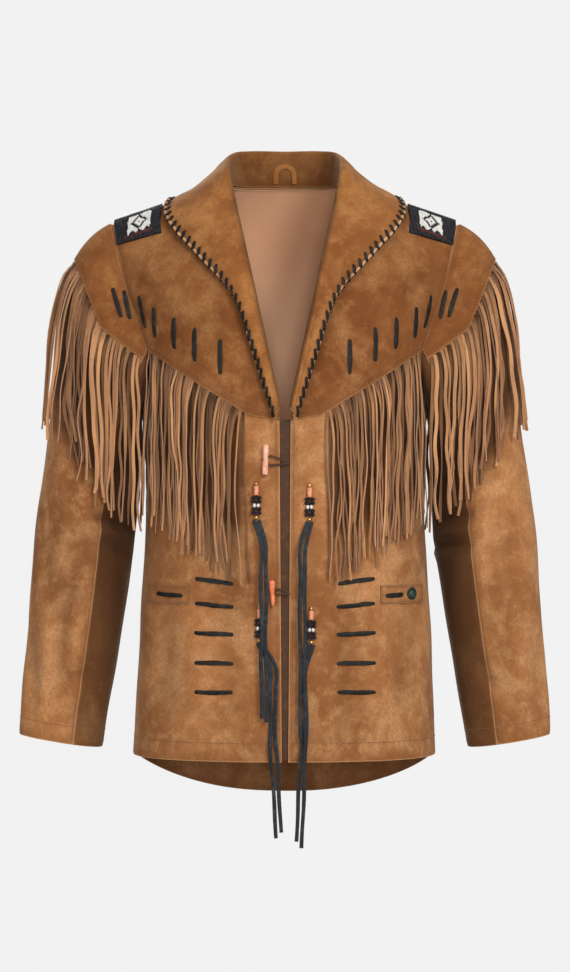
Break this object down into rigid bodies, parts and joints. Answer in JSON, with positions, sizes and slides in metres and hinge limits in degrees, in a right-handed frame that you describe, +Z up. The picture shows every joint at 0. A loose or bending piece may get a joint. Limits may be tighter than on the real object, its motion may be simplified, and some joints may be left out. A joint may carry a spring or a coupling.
{
  "type": "western fringed suede jacket",
  "caption": "Open suede jacket with fringed yokes and sleeves, whip-stitched collar, thong bars and bead drops, held in its worn shape.",
  "frame": {"origin": "midway between the side neck points, where the wearer's shoulders hold the jacket up", "axes": "+Z up, -Y out of the jacket's front, +X to the wearer's left"},
  "size_m": [0.67, 0.2579, 0.8756],
  "materials": {
    "lining": "plain mauve-brown woven lining",
    "suede": "mottled tan suede, napped",
    "beads": "brass, coral and jet beads on one thread",
    "fringe": "suede cut in strands",
    "dark_leather": "dark brown leather",
    "concho": "dark green-black bead",
    "beadwork": "black and white seed beadwork",
    "thong": "black flat thong, slight shine",
    "coral_horn": "coral orange horn toggle",
    "pale_bar": "pale peach bar toggle",
    "lace": "black thong bar"
  },
  "bodies": {
    "root": {"back_lining": "lining", "back_panel": "suede", "bead_drop_lower_left": "beads", "bead_drop_lower_right": "beads", "bead_drop_upper_left": "beads", "bead_drop_upper_right": "beads", "collar": "suede", "fringe_back": "fringe", "fringe_front_left": "fringe", "fringe_front_right": "fringe", "fringe_sleeve_left": "fringe", "fringe_sleeve_right": "fringe", "front_left": "suede", "front_placket": "dark_leather", "front_right": "suede", "hang_loop": "suede", "pocket_concho": "concho", "pocket_welt_left": "suede", "pocket_welt_right": "suede", "shoulder_patch_left": "beadwork", "shoulder_patch_right": "beadwork", "sleeve_top_left": "suede", "sleeve_top_right": "suede", "sleeve_under_left": "suede", "sleeve_under_right": "suede", "sleeve_yoke_left": "suede", "sleeve_yoke_right": "suede", "thong_lower_left_1": "thong", "thong_lower_left_2": "thong", "thong_lower_right_1": "thong", "thong_lower_right_2": "thong", "thong_upper_left_1": "thong", "thong_upper_left_2": "thong", "thong_upper_right_1": "thong", "thong_upper_right_2": "thong", "toggle_loop_lower": "dark_leather", "toggle_loop_upper": "dark_leather", "toggle_lower": "coral_horn", "toggle_upper": "pale_bar", "yoke_back": "suede", "yoke_front_left": "suede", "yoke_front_right": "suede", "yoke_lace_1_left": "lace", "yoke_lace_1_right": "lace", "yoke_lace_2_left": "lace", "yoke_lace_2_right": "lace", "yoke_lace_3_left": "lace", "yoke_lace_3_right": "lace", "yoke_lace_4_left": "lace", "yoke_lace_4_right": "lace", "yoke_lace_5_left": "lace", "yoke_lace_5_right": "lace", "yoke_lace_6_left": "lace", "yoke_lace_6_right": "lace", "yoke_lace_7_left": "lace", "yoke_lace_7_right": "lace"}
  },
  "joints": []
}
